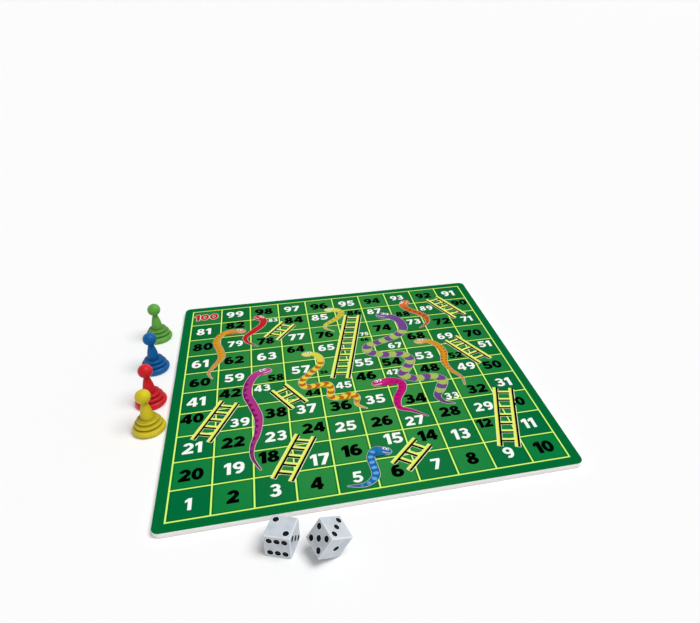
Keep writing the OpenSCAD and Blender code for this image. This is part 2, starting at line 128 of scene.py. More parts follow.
# The room gives a dim, even light, but the camera and glossy faces see it pure white.
sky = bpy.data.worlds.new("white_room")
bpy.context.scene.world = sky
sky.use_nodes = True
sky_tree = sky.node_tree
sky_light = sky_tree.nodes["Background"]
sky_seen = sky_tree.nodes.new("ShaderNodeBackground")
for background, strength in ((sky_light, 0.354), (sky_seen, 1.0)):
    background.inputs["Color"].default_value = (1, 1, 1, 1)
    background.inputs["Strength"].default_value = strength
ray = sky_tree.nodes.new("ShaderNodeLightPath").outputs
bounced = calc(sky_tree, "MAXIMUM", ray["Is Glossy Ray"], ray["Is Transmission Ray"])
seen = calc(sky_tree, "MAXIMUM", ray["Is Camera Ray"], bounced)
sky_pick = sky_tree.nodes.new("ShaderNodeMixShader")
sky_tree.links.new(seen, sky_pick.inputs["Fac"])
sky_tree.links.new(sky_light.outputs["Background"], sky_pick.inputs[1])
sky_tree.links.new(sky_seen.outputs["Background"], sky_pick.inputs[2])
sky_tree.links.new(sky_pick.outputs["Shader"], sky_tree.nodes["World Output"].inputs["Surface"])


# BOARD
# A square of pressed grey board with a printed paper glued on its face and a plain one
# on its back. The cut edge shows the pale layers of the board between the two papers.
def srgb(red, green, blue):
    """A colour picked as 0 to 255 on a screen, as the shader takes it."""
    shares = [value / 255 for value in (red, green, blue)]
    return [v / 12.92 if v <= 10 / 255 else ((v + 0.055) / 1.055) ** 2.4 for v in shares] + [1]


def ramped(tree, value, low, high):
    """0 below low, 1 above high, and smooth between them."""
    ramp = tree.nodes.new("ShaderNodeMapRange")
    ramp.interpolation_type = "SMOOTHSTEP"
    feed(tree, ramp.inputs["Value"], value)
    ramp.inputs["From Min"].default_value = low
    ramp.inputs["From Max"].default_value = high
    return ramp.outputs["Result"]


def faded(tree, value, low, high):
    """1 below low, 0 above high, and smooth between them."""
    return calc(tree, "SUBTRACT", 1.0, ramped(tree, value, low, high))


def mixed(tree, share, first, second, blend="MIX"):
    """The first colour, turned towards the second one by a share."""
    mix = tree.nodes.new("ShaderNodeMix")
    mix.data_type = "RGBA"
    mix.blend_type = blend
    feed(tree, mix.inputs["Factor"], share)
    feed(tree, mix.inputs[6], first)
    feed(tree, mix.inputs[7], second)
    return mix.outputs[2]


def noise(tree, place, grain, detail=2.0):
    """Cloudy noise, its grain in metres."""
    cloud = tree.nodes.new("ShaderNodeTexNoise")
    feed(tree, cloud.inputs["Vector"], place)
    cloud.inputs["Scale"].default_value = 1 / grain
    cloud.inputs["Detail"].default_value = detail
    return cloud.outputs["Fac"]


def axes(tree, place, names):
    """The wanted ones of a place's X, Y and Z."""
    split = tree.nodes.new("ShaderNodeSeparateXYZ")
    tree.links.new(place, split.inputs["Vector"])
    return [split.outputs[name] for name in names]


def blank(name, roughness, gloss):
    """A new material, with its tree, its shader and the place on the object that patterns read."""
    paint = bpy.data.materials.new(name)
    paint.use_nodes = True
    tree = paint.node_tree
    shader = tree.nodes["Principled BSDF"]
    shader.inputs["Roughness"].default_value = roughness
    shader.inputs["Specular IOR Level"].default_value = gloss
    return paint, tree, shader, tree.nodes.new("ShaderNodeTexCoord").outputs["Object"]


def roughen(tree, shader, height, depth, strength=1.0):
    """Relief of so many metres on a shader."""
    relief = tree.nodes.new("ShaderNodeBump")
    relief.inputs["Strength"].default_value = strength
    relief.inputs["Distance"].default_value = depth
    feed(tree, relief.inputs["Height"], height)
    tree.links.new(relief.outputs["Normal"], shader.inputs["Normal"])


def dress(node, paint):
    """Gives a CAD node its material."""
    piece = frame["nodes"][node]
    piece.data.materials.clear()
    piece.data.materials.append(paint)


def stretched(tree, place, across, up):
    """The place squeezed along X and Y and along Z, for a pattern that runs in layers."""
    squeeze = tree.nodes.new("ShaderNodeMapping")
    tree.links.new(place, squeeze.inputs["Vector"])
    squeeze.inputs["Scale"].default_value = (across, across, up)
    return squeeze.outputs["Vector"]


def layered_board():
    """Pressed board: pale layers along the edge, short fibres, greyer specks, a little darker towards
    the bottom, and a painted contact shadow along the foot.
    """
    paint, tree, shader, place = blank("grey_board", roughness=0.85, gloss=0.15)
    layers = noise(tree, stretched(tree, place, across=0.02, up=1), 0.35 * mm, 3)
    fibres = noise(tree, stretched(tree, place, across=0.25, up=1), 0.1 * mm, 4)
    height = axes(tree, place, "Z")[0]
    upper = ramped(tree, height, 1.0 * mm, 2.4 * mm)
    tone = mixed(tree, upper, srgb(240, 234, 232), srgb(248, 250, 247))
    greyer = calc(tree, "MULTIPLY", ramped(tree, layers, 0.4, 0.65), 0.5)
    tone = mixed(tree, greyer, tone, srgb(228, 224, 221))
    specks = calc(tree, "MULTIPLY", ramped(tree, fibres, 0.6, 0.8), 0.4)
    tone = mixed(tree, specks, tone, srgb(206, 200, 196))
    # Painted contact shadow: the edge turns darker in its lowest half millimetre, along the table.
    foot = calc(tree, "MULTIPLY", faded(tree, height, 0.25 * mm, 0.5 * mm), 0.8)
    tone = mixed(tree, foot, tone, srgb(164, 157, 156))
    tree.links.new(tone, shader.inputs["Base Color"])
    roughen(tree, shader, calc(tree, "ADD", layers, fibres), 0.04 * mm)
    return paint


def plain_paper():
    """Uncoated white liner with faint fibres."""
    paint, tree, shader, place = blank("white_paper", roughness=0.9, gloss=0.1)
    clouds = noise(tree, place, 9 * mm, 3)
    fibres = noise(tree, place, 0.25 * mm, 4)
    tone = mixed(tree, ramped(tree, clouds, 0.35, 0.7), srgb(238, 237, 233), srgb(246, 245, 241))
    tone = mixed(tree, ramped(tree, fibres, 0.62, 0.8), tone, srgb(226, 222, 214))
    tree.links.new(tone, shader.inputs["Base Color"])
    roughen(tree, shader, fibres, 0.03 * mm, 0.6)
    return paint


def ink(name, colour, dark=0.93, gloss=0.003):
    """Printed ink under a thin varnish, its mottle darkened down to the share dark.

    The colour is fixed, or a function of the tree and the place.
    """
    paint, tree, shader, place = blank(name, 0.45, gloss)
    tint = colour(tree, place) if callable(colour) else colour
    mottle = noise(tree, place, 3.5 * mm, 3)
    tooth = noise(tree, place, 0.22 * mm)
    uneven = calc(tree, "MULTIPLY", ramped(tree, mottle, 0.3, 0.75), ramped(tree, tooth, 0.2, 0.7))
    tone = mixed(tree, uneven, tint, (dark, dark, dark, 1), "MULTIPLY")
    tree.links.new(tone, shader.inputs["Base Color"])
    roughen(tree, shader, tooth, 0.012 * mm, 0.5)
    return paint


def margin_green(tree, place):
    """Deep bluish green, a little lighter along the middle of the front edge."""
    x, y = axes(tree, place, "XY")
    middle = faded(tree, calc(tree, "ABSOLUTE", x), 10 * mm, 110 * mm)
    front = faded(tree, y, -132 * mm, -80 * mm)
    return mixed(tree, calc(tree, "MULTIPLY", middle, front), srgb(2, 108, 54), srgb(17, 116, 58))


dress("core_board", layered_board())
dress("back_sheet", plain_paper())
dress("face_sheet", ink("green_paper", margin_green))

# SQUARES AND LINES
# The playing field is printed on the face paper in two greens that are lightest in the
# middle of the board and deepest beside the yellow green lines.
cell = 26 * mm
half_field = 5 * cell


def square_colours(back_rim, middle, front_rim, front_middle):
    """Green, lightest in the middle of the board, deeper towards its rims and beside the lines."""
    def colour(tree, place):
        x, y = axes(tree, place, "XY")
        aside = calc(tree, "POWER", x, 2.0)
        away = calc(tree, "POWER", calc(tree, "MULTIPLY", y, 0.6), 2.0)
        reach = calc(tree, "SQRT", calc(tree, "ADD", aside, away))
        centre = mixed(tree, ramped(tree, y, -4 * cell, 0), front_middle, middle)
        outer = mixed(tree, ramped(tree, y, -half_field, half_field), front_rim, back_rim)
        tone = mixed(tree, ramped(tree, reach, 1.2 * cell, 5.6 * cell), centre, outer)
        line_x, line_y = (calc(tree, "PINGPONG", value, cell / 2) for value in (x, y))
        beside = faded(tree, calc(tree, "MINIMUM", line_x, line_y), 0.6 * mm, 2.1 * mm)
        return mixed(tree, calc(tree, "MULTIPLY", beside, 0.65), tone, srgb(10, 86, 12))
    return colour


dark_green = square_colours(srgb(12, 105, 50), srgb(34, 121, 59), srgb(1, 108, 60), srgb(28, 122, 62))
light_green = square_colours(srgb(32, 122, 60), srgb(56, 142, 66), srgb(8, 126, 63), srgb(53, 144, 67))
dress("dark_squares", ink("dark_green_ink", dark_green))
dress("light_squares", ink("light_green_ink", light_green))
dress("grid_lines", ink("yellow_green_ink", srgb(214, 255, 122), 0.97))

# NUMBERS
# Bold figures printed over the squares, white on the dark ones and black on the light
# ones. The last number is red, with a pale rim around it.
dress("white_numbers", ink("white_ink", srgb(250, 253, 250), 0.96))
dress("black_numbers", ink("black_ink", srgb(2, 3, 2), 0.8, 0.001))
dress("red_number", ink("red_ink", srgb(196, 34, 34)))

# Every figure is printed from the level of the top of the squares and lines upwards.
figure_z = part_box("grid_lines")[1][2]


def placed(name, data):
    """A new object in the scene, selected alone and active."""
    piece = bpy.data.objects.new(name, data)
    bpy.context.scene.collection.objects.link(piece)
    bpy.ops.object.select_all(action="DESELECT")
    piece.select_set(True)
    bpy.context.view_layer.objects.active = piece
    return piece


def face_outwards():
    """Turns all faces of the mesh that is being edited outwards, and leaves them selected."""
    bpy.ops.mesh.select_all(action="SELECT")
    bpy.ops.mesh.normals_make_consistent(inside=False)


def printed_copy(node, name, spread, thick, shift=(0, 0), end=None, onward=None):
    """A copy of a printed figure, its outline spread outwards, that lies on the squares under it.

    It can be cut off square at an end, and then keeps what lies onward from there.
    """
    piece = placed(name, frame["nodes"][node].data.copy())
    piece.data.materials.clear()
    bpy.ops.object.mode_set(mode="EDIT")
    bpy.ops.mesh.select_all(action="SELECT")
    bpy.ops.mesh.remove_doubles(threshold=0.001 * mm)
    if spread:
        bpy.ops.transform.shrink_fatten(value=spread, use_even_offset=True)
    flat = thick / (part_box(node)[1][2] - figure_z + 2 * spread)
    bpy.ops.transform.resize(value=(1, 1, flat), center_override=(0, 0, figure_z))
    bpy.ops.transform.translate(value=(shift[0], shift[1], spread * flat))
    if end:
        bpy.ops.mesh.bisect(plane_co=(end[0], end[1], 0), plane_no=(onward[0], onward[1], 0),
                            clear_inner=True, use_fill=True)
        face_outwards()
    bpy.ops.object.mode_set(mode="OBJECT")
    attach(piece, "board")
    return piece


rim_paint = ink("number_rim_ink", srgb(240, 222, 208), 0.95)
number_rim = printed_copy("red_number", "red_number_rim", 0.5 * mm, 0.04 * mm)
number_rim.data.materials.append(rim_paint)

# LADDERS
# Nine ladders in flat yellow. A black line under each rail and rung gives them depth,
# and a thin cream rim sets them off from the squares.
rail_gap, rail_w = 0.47 * cell, 0.085 * cell
under_rail, under_rung = 1.5 * mm, 1.6 * mm
shade_thick, cream_thick, shade_cream_thick = 0.07 * mm, 0.04 * mm, 0.03 * mm
cream_w, shade_cream_w = 0.22 * mm, 0.45 * mm
strip_top, strip_lap = figure_z + 0.12 * mm, 0.1 * mm

# The middle of each ladder's foot and head, in squares from the field's lower left corner.
ladders = {
    "ladder_3_24": ((2.65, 0.81), (3.36, 2.34)),
    "ladder_6_14": ((5.62, 0.62), (6.39, 1.42)),
    "ladder_9_31": ((8.58, 0.73), (9.34, 3.22)),
    "ladder_21_42": ((0.62, 2.74), (1.34, 4.3)),
    "ladder_37_43": ((3.35, 3.72), (2.79, 4.7)),
    "ladder_45_86": ((4.63, 4.8), (5.58, 8.6)),
    "ladder_50_69": ((9.36, 4.76), (8.64, 6.31)),
    "ladder_71_92": ((9.42, 7.72), (8.75, 9.27)),
    "ladder_78_84": ((2.66, 7.6), (3.29, 8.52)),
}


def on_board(point):
    """A place that is counted in squares, in metres from the middle of the board."""
    return (Vector(point) - Vector((5, 5))) * cell


def own_place(tree, place, middle, turns=(0, 0, 0)):
    """The place as it is counted from a thing's own middle and along its own sides."""
    own = tree.nodes.new("ShaderNodeMapping")
    own.vector_type = "TEXTURE"
    own.inputs["Location"].default_value = middle
    own.inputs["Rotation"].default_value = turns
    tree.links.new(place, own.inputs["Vector"])
    return own.outputs["Vector"]


def ladder_ink(name, foot, side):
    """Pale yellow, deeper along the lower side of each rail and in soft streaks."""
    def colour(tree, place):
        own = own_place(tree, place, (foot.x, foot.y, 0), (0, 0, math.atan2(side.y, side.x)))
        x = axes(tree, own, "X")[0]
        rail_x = calc(tree, "MULTIPLY", calc(tree, "SIGN", x), rail_gap / 2)
        off = calc(tree, "SUBTRACT", x, rail_x)
        on_rail = calc(tree, "GREATER_THAN", calc(tree, "ABSOLUTE", x), (rail_gap - rail_w) / 2)
        lower = calc(tree, "MULTIPLY", on_rail, ramped(tree, off, -0.2 * rail_w, 0.5 * rail_w))
        streaks = calc(tree, "MULTIPLY", noise(tree, own, 1.6 * mm), 0.35)
        deeper = calc(tree, "ADD", calc(tree, "MULTIPLY", lower, 0.65), streaks)
        return mixed(tree, deeper, srgb(235, 249, 126), srgb(230, 222, 64))
    return ink(name, colour, 0.96)


ladder_shade = ink("ladder_shade_ink", srgb(8, 8, 3), 0.8)
ladder_cream = ink("ladder_cream_ink", srgb(250, 250, 222), 0.95)
for node, (foot, head) in ladders.items():
    climb = (Vector(head) - Vector(foot)).normalized()
    side = Vector((climb.y, -climb.x)) if climb.x > 0 else Vector((-climb.y, climb.x))
    start = on_board(foot)
    dress(node, ladder_ink(node + "_ink", start, side))
    shift = side * under_rail - climb * under_rung
    shade_end, cream_end = start - climb * 0.2 * mm, start - climb * 0.5 * mm
    shade = printed_copy(node, node + "_shade", 0, shade_thick, shift, shade_end, climb)
    shade.data.materials.append(ladder_shade)
    rim = printed_copy(node, node + "_rim", cream_w, cream_thick)
    rim.data.materials.append(ladder_cream)
    shade_rim = printed_copy(node, node + "_shade_rim", shade_cream_w,
                             shade_cream_thick, shift, cream_end, climb)
    shade_rim.data.materials.append(ladder_cream)

    # A black strip along the lower side of each rail, one box and its copy a gap away.
    long = (Vector(head) - Vector(foot)).length * cell
    bpy.ops.object.select_all(action="DESELECT")
    bpy.ops.mesh.primitive_plane_add(size=1, location=(start.x, start.y, figure_z),
                                     rotation=(0, 0, math.atan2(side.y, side.x)))
    strips = bpy.context.object
    strips.name = node + "_rail_lines"
    up = 1 if climb.x > 0 else -1
    bpy.ops.object.mode_set(mode="EDIT")
    bpy.ops.transform.resize(value=(under_rail, long, 1), orient_type="LOCAL")
    strip_x = (rail_w - rail_gap + under_rail) / 2 - strip_lap
    bpy.ops.transform.translate(value=(strip_x, up * long / 2, 0), orient_type="LOCAL")
    bpy.ops.mesh.duplicate_move(
        TRANSFORM_OT_translate={"value": (rail_gap, 0, 0), "orient_type": "LOCAL"})
    bpy.ops.mesh.select_all(action="SELECT")
    bpy.ops.mesh.extrude_region_move(
        TRANSFORM_OT_translate={"value": (0, 0, strip_top - figure_z)})
    face_outwards()
    bpy.ops.object.mode_set(mode="OBJECT")
    bpy.ops.object.transform_apply(location=True, rotation=True, scale=True)
    strips.data.materials.append(ladder_shade)
    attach(strips, "board")

# SNAKES
# Ten snakes, each printed in its own colours with a thin pale grey rim. A snake is
# drawn along its smooth route from head to tail and laid flat on the squares.
snake_top, snake_thick = figure_z + 0.05 * mm, 0.02 * mm
snake_rim_thick, snake_rim_w = 0.04 * mm, 0.38 * mm
head_long, head_wide, tail_share = 0.85, 0.68, 0.14
snake_sides, snake_step, snake_least = 16, 0.8 * mm, 0.02 * mm
head_rings, head_blend, curve_steps = 12, 8, 32


def even_route(points, step):
    """A smooth curve through the points, as points that are a step apart, and its length."""
    dense = []
    for i in range(len(points) - 1):
        a, b, c, d = (Vector(points[max(0, min(i + k, len(points) - 1))]) for k in (-1, 0, 1, 2))
        for t in (k / curve_steps for k in range(curve_steps)):
            dense.append((2 * b + (c - a) * t + (2 * a - 5 * b + 4 * c - d) * t * t
                          + (3 * b - a - 3 * c + d) * t * t * t) / 2)
    dense.append(Vector(points[-1]))
    reach = [0.0]
    for p, q in zip(dense, dense[1:]):
        reach.append(reach[-1] + (q - p).length)
    count = math.ceil(reach[-1] / step)
    even, j = [], 0
    for k in range(count + 1):
        goal = reach[-1] * k / count
        while j < len(reach) - 2 and reach[j + 1] < goal:
            j += 1
        even.append(dense[j].lerp(dense[j + 1], (goal - reach[j]) / (reach[j + 1] - reach[j])))
    return even, reach[-1]


def draw_snake(name, snake, spread, bottom, thick):
    """A flat snake: rings along its route, wide at the head, fine at the tail, cut level below."""
    even, length = even_route([on_board(point) for point in snake["route"]], snake_step)
    w, thin_from = snake["width"] * cell, snake["thin_from"]
    ahead, behind = (even[0] - even[1]).normalized(), (even[-1] - even[-2]).normalized()
    head_l, head_w = head_long * w + spread, head_wide * w + spread
    tip = tail_share * w / 2 + spread
    rings = []
    for k in range(head_rings):
        lead = math.cos(math.radians(90 / head_rings * k)) * head_l
        rings.append((even[0] + ahead * lead, -lead))
    rings += [(p, length * k / (len(even) - 1)) for k, p in enumerate(even)]
    for lag in (math.sin(math.radians(degrees)) for degrees in (30, 60, 85)):
        rings.append((even[-1] + behind * tip * lag, length + tip * lag))
    curve = bpy.data.curves.new(name, "CURVE")
    curve.dimensions, curve.twist_mode = "3D", "Z_UP"
    curve.bevel_depth, curve.bevel_resolution = 1.0, snake_sides // 2 - 2
    curve.use_fill_caps = True
    spline = curve.splines.new("POLY")
    spline.points.add(len(rings) - 1)
    for point, (p, along) in zip(spline.points, rings):
        u, girth = min(along / length, 1), 0.5
        if u >= thin_from:
            girth = (1 - (1 - tail_share) * (u - thin_from) / (1 - thin_from)) / 2
        body = w * girth + spread if along >= 0 else 0.0
        if along > length:
            body = math.sqrt(max(0.0, tip * tip - (along - length) ** 2))
        head = head_w * math.sqrt(max(0.0, 1 - (along / head_l) ** 2))
        point.co = (p.x, p.y, 0, 1)
        point.radius = max(snake_least, (body ** head_blend + head ** head_blend) ** (1 / head_blend))
    placed(name, curve)
    bpy.ops.object.convert(target="MESH")
    piece = bpy.context.object
    skin = piece.data.uv_layers[0]
    skin.name = "skin"
    for corner in skin.data:
        ring = round(corner.uv.x * (len(rings) - 1))
        corner.uv = (rings[ring][1] / cell, corner.uv.y)
    bpy.ops.object.mode_set(mode="EDIT")
    bpy.ops.mesh.select_all(action="SELECT")
    bpy.ops.mesh.remove_doubles(threshold=0.002 * mm)
    bpy.ops.mesh.select_all(action="SELECT")
    bpy.ops.mesh.bisect(plane_co=(0, 0, 0), plane_no=(0, 0, 1), clear_inner=True, use_fill=True)
    bpy.ops.mesh.select_all(action="SELECT")
    bpy.ops.transform.resize(value=(1, 1, thick / head_w), center_override=(0, 0, 0))
    bpy.ops.transform.translate(value=(0, 0, bottom))
    face_outwards()
    bpy.ops.object.mode_set(mode="OBJECT")
    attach(piece, "board")
    return piece


def on_skin(tree):
    """How far along a snake a point is, in squares, and how far across it, from -1 to 1."""
    spread = tree.nodes.new("ShaderNodeUVMap")
    spread.uv_map = "skin"
    along, around = axes(tree, spread.outputs["UV"], "XY")
    # The skin's seam is three sides away from the middle line of the body.
    past_seam = calc(tree, "SUBTRACT", around, 3 / snake_sides)
    return along, calc(tree, "SINE", calc(tree, "MULTIPLY", past_seam, 2 * math.pi))


def between(tree, along, first, last, soft=0.06):
    """1 between two places along a snake, and 0 outside them."""
    return calc(tree, "MULTIPLY", ramped(tree, along, first, first + soft),
                faded(tree, along, last - soft, last))


def bands(pitch, first, last, share=0.0, bend=0.06, offset=0.0):
    """Bands across the body, a little bowed, so many squares apart, narrower for a larger share."""
    def pattern(tree, along, across):
        bow = calc(tree, "MULTIPLY", calc(tree, "MULTIPLY", across, across), bend)
        bowed = calc(tree, "ADD", calc(tree, "ADD", along, offset), bow)
        wave = calc(tree, "SINE", calc(tree, "MULTIPLY", bowed, 2 * math.pi / pitch))
        soft = 0.12
        return calc(tree, "MULTIPLY", ramped(tree, wave, share - soft, share + soft),
                    between(tree, along, first, last))
    return pattern


def ovals(pitch, first, last, long, wide, middle=0.0, paired=False):
    """A row of ovals down the body, or the same row on both of its sides."""
    def pattern(tree, along, across):
        if paired:
            across = calc(tree, "ABSOLUTE", across)
        step = calc(tree, "PINGPONG", along, pitch / 2)
        far = calc(tree, "POWER", calc(tree, "DIVIDE", step, long), 2.0)
        aside = calc(tree, "SUBTRACT", across, middle)
        off = calc(tree, "POWER", calc(tree, "DIVIDE", aside, wide), 2.0)
        inside = faded(tree, calc(tree, "ADD", far, off), 0.75, 1.2)
        return calc(tree, "MULTIPLY", inside, between(tree, along, first, last))
    return pattern


def waves(pitch, first, last, side):
    """Wavy patches along one side of the body."""
    def pattern(tree, along, across):
        wave = calc(tree, "SINE", calc(tree, "MULTIPLY", along, 2 * math.pi / pitch))
        swing = calc(tree, "MULTIPLY", wave, 0.42)
        edge = calc(tree, "ADD", calc(tree, "MULTIPLY", across, side), swing)
        return calc(tree, "MULTIPLY", ramped(tree, edge, 0.3, 0.48), between(tree, along, first, last))
    return pattern


def no_marks(tree, along, across):
    """A plain skin."""
    return 0.0


def snake_ink(name, snake, length, mouth_side):
    """A snake's ink: its colour and marks, other tones on head and tail end, and a pale mouth."""
    def colour(tree, place):
        along, across = on_skin(tree)
        tone = mixed(tree, snake["pattern"](tree, along, across), snake["body"], snake["marks"])
        tone = mixed(tree, faded(tree, along, 0.12, 0.5), tone, snake["head"])
        tail_from = max(0.66, snake["thin_from"])
        at_tail = ramped(tree, along, tail_from * length, 0.97 * length)
        tone = mixed(tree, calc(tree, "MULTIPLY", at_tail, 0.8), tone, snake["tail"])
        edge = ramped(tree, calc(tree, "ABSOLUTE", across), 0.6, 1.0)
        edge = calc(tree, "MULTIPLY", edge, 0.45)
        tone = mixed(tree, edge, tone, (0.55, 0.5, 0.5, 1), "MULTIPLY")
        off = calc(tree, "ABSOLUTE", calc(tree, "ADD", across, 0.42 * mouth_side))
        cut = between(tree, along, -0.78 * snake["width"], 0.3 * snake["width"], 0.02)
        lips = calc(tree, "MULTIPLY", faded(tree, off, 0.06, 0.18), cut)
        return mixed(tree, calc(tree, "MULTIPLY", lips, 0.55), tone, srgb(246, 242, 238))
    return ink(name, colour)


# Routes and widths are in squares. A snake narrows from the share thin_from of its length on.
snakes = {
    "snake_98_78": dict(
        route=[(2.3, 9.1), (2.45, 8.9), (2.38, 8.55), (2.07, 8.17), (1.83, 7.86), (1.88, 7.52),
               (2.2, 7.21)],
        width=0.23, thin_from=0.5, slot="crimson_ink",
        body=srgb(194, 36, 34), marks=srgb(170, 20, 32), pattern=no_marks,
        head=srgb(196, 44, 52), tail=srgb(138, 44, 40)),
    "snake_82_60": dict(
        route=[(1.64, 8.3), (1.3, 8.36), (1, 8.13), (0.88, 7.71), (1.01, 7.17), (1.06, 6.71),
               (0.84, 6.25), (0.7, 5.91), (0.82, 5.6)],
        width=0.22, thin_from=0.6, slot="orange_ink",
        body=srgb(213, 154, 46), marks=srgb(200, 110, 26),
        pattern=ovals(0.16, 0.5, 2.6, long=0.035, wide=0.45, middle=0.3),
        head=srgb(214, 140, 66), tail=srgb(196, 134, 66)),
    "snake_96_76": dict(
        route=[(4.82, 9.17), (5.08, 9.11), (5.22, 8.82), (4.97, 8.44), (4.59, 8.13), (4.55, 7.86),
               (4.8, 7.6)],
        width=0.2, thin_from=0.5, slot="yellow_ink",
        body=srgb(213, 206, 52), marks=srgb(198, 170, 34), pattern=bands(0.2, 0.4, 1.6),
        head=srgb(220, 226, 106), tail=srgb(150, 160, 70)),
    "snake_93_73": dict(
        route=[(7.65, 9.1), (7.54, 8.88), (7.72, 8.52), (7.99, 8.22), (8.17, 7.86), (8.1, 7.48),
               (7.78, 7.2)],
        width=0.24, thin_from=0.55, slot="vermilion_ink",
        body=srgb(200, 100, 38), marks=srgb(168, 72, 28),
        pattern=ovals(0.22, 0.3, 1.9, long=0.06, wide=0.5),
        head=srgb(224, 106, 50), tail=srgb(160, 92, 56)),
    "snake_87_28": dict(
        route=[(6.68, 8.32), (6.95, 8.16), (7.18, 7.79), (7.17, 7.25), (6.86, 6.87), (6.33, 6.64),
               (5.8, 6.41), (5.78, 6.03), (6.27, 5.78), (6.79, 5.7), (6.98, 5.32), (6.78, 4.9),
               (6.58, 4.57), (6.88, 4.28), (7.42, 4.28), (7.7, 4.04), (7.55, 3.65), (7.34, 3.27),
               (7.46, 2.95), (7.72, 2.82)],
        width=0.3, thin_from=0.88, slot="purple_ink",
        body=srgb(114, 72, 144), marks=srgb(168, 192, 90),
        pattern=bands(0.4443, 1.35, 8.0, share=-0.06, bend=0.06, offset=-0.059),
        head=srgb(118, 78, 152), tail=srgb(92, 68, 122)),
    "snake_64_35": dict(
        route=[(3.78, 6.35), (4.02, 6.28), (4.16, 6), (4.1, 5.62), (3.74, 5.2), (3.5, 4.88),
               (3.56, 4.55), (3.9, 4.57), (4.24, 4.56), (4.3, 4.24), (4.26, 3.92), (4.5, 3.8),
               (4.84, 3.92), (5, 3.7), (4.95, 3.38), (5.2, 3.14)],
        width=0.21, thin_from=0.85, slot="amber_ink",
        body=srgb(226, 211, 60), marks=srgb(190, 99, 26), pattern=bands(0.26, 0.75, 4.85),
        head=srgb(214, 220, 58), tail=srgb(206, 160, 60)),
    "snake_58_18": dict(
        route=[(2.4, 5.64), (2.1, 5.5), (1.9, 5.03), (1.87, 4.49), (2.02, 3.96), (2.16, 3.35),
               (2.12, 2.73), (1.98, 2.2), (1.98, 1.74), (2.17, 1.27)],
        width=0.25, thin_from=0.5, slot="magenta_ink",
        body=srgb(176, 52, 132), marks=srgb(120, 26, 90), pattern=waves(0.26, 0.6, 4.1, side=1),
        head=srgb(184, 64, 142), tail=srgb(100, 36, 82)),
    "snake_68_32": dict(
        route=[(7.56, 6.33), (7.84, 6.28), (8.08, 5.95), (8.15, 5.49), (8.03, 4.95), (8.1, 4.49),
               (8.32, 4.04), (8.3, 3.64)],
        width=0.23, thin_from=0.45, slot="orange_ink",
        body=srgb(215, 145, 34), marks=srgb(160, 90, 26),
        pattern=ovals(0.16, 0.7, 2.4, long=0.032, wide=0.36, middle=0.72, paired=True),
        head=srgb(212, 162, 78), tail=srgb(182, 130, 62)),
    "snake_46_27": dict(
        route=[(5.76, 4.28), (6.08, 4.35), (6.4, 4.2), (6.4, 3.86), (6.16, 3.42), (6.12, 2.98),
               (6.45, 2.75), (6.82, 2.43)],
        width=0.25, thin_from=0.5, slot="pink_ink",
        body=srgb(196, 22, 120), marks=srgb(172, 14, 104),
        pattern=ovals(0.2, 0.3, 2.3, long=0.06, wide=0.5, middle=0.3),
        head=srgb(208, 36, 128), tail=srgb(136, 44, 86)),
    "snake_15_5": dict(
        route=[(5.36, 1.26), (5.12, 1.38), (4.95, 1.12), (4.97, 0.74), (4.95, 0.4), (4.66, 0.18),
               (4.24, 0.22)],
        width=0.2, thin_from=0.65, slot="blue_ink",
        body=srgb(26, 108, 171), marks=srgb(100, 171, 218),
        pattern=ovals(0.2, 0.25, 1.85, long=0.055, wide=0.78),
        head=srgb(42, 118, 178), tail=srgb(30, 92, 146)),
}
# The eyes' measures are shares of the snake's width.
eye_r, pupil_rim, eye_off, eye_leads, gaze = 0.22, 0.1, 0.42, (-0.34, 0.14), 0.05
eye_thick, coarse_step = 0.03 * mm, 0.05
snake_rim_ink = ink("snake_rim_ink", srgb(208, 202, 200), 0.95)
eye_white = ink("eye_white_ink", srgb(250, 252, 252), 0.97)
eye_black = ink("eye_black_ink", srgb(8, 8, 10), 0.85)
for node, snake in snakes.items():
    even, length = even_route(snake["route"], coarse_step)
    body = draw_snake(node + "_print", snake, 0, snake_top - snake_thick / 2, snake_thick)
    ahead = (even[0] - even[1]).normalized()
    upper = 1 if ahead.x > 0 else -1
    body.data.materials.append(snake_ink(node + "_ink", snake, length, upper))
    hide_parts(node)
    rim = draw_snake(node + "_rim", snake, snake_rim_w, figure_z, snake_rim_thick)
    rim.data.materials.append(snake_rim_ink)

    # Two round eyes on the upper side of the head, their pupils turned ahead.
    middle = on_board(snake["route"][0])
    beside = Vector((-ahead.y, ahead.x)) * upper
    w = snake["width"] * cell
    eyes = []
    for lead in eye_leads:
        spot = middle + ahead * lead * w + beside * eye_off * w
        bpy.ops.mesh.primitive_circle_add(vertices=20, radius=eye_r * w, fill_type="NGON",
                                          location=(spot.x, spot.y, snake_top))
        eye = bpy.context.object
        eye.data.materials.append(eye_white)
        eye.data.materials.append(eye_black)
        bpy.ops.object.mode_set(mode="EDIT")
        bpy.ops.mesh.select_all(action="SELECT")
        bpy.ops.mesh.extrude_region_move(TRANSFORM_OT_translate={"value": (0, 0, eye_thick)})
        bpy.ops.mesh.inset(thickness=pupil_rim * w, depth=0)
        eye.active_material_index = 1
        bpy.ops.object.material_slot_assign()
        bpy.ops.transform.translate(value=(ahead.x * gaze * w, ahead.y * gaze * w, 0))
        face_outwards()
        bpy.ops.object.mode_set(mode="OBJECT")
        eyes.append(eye)
    for eye in eyes:
        eye.select_set(True)
    bpy.ops.object.join()
    eye = bpy.context.object
    eye.name = node + "_eyes"
    bpy.ops.object.transform_apply(location=True, rotation=True, scale=True)
    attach(eye, "board")

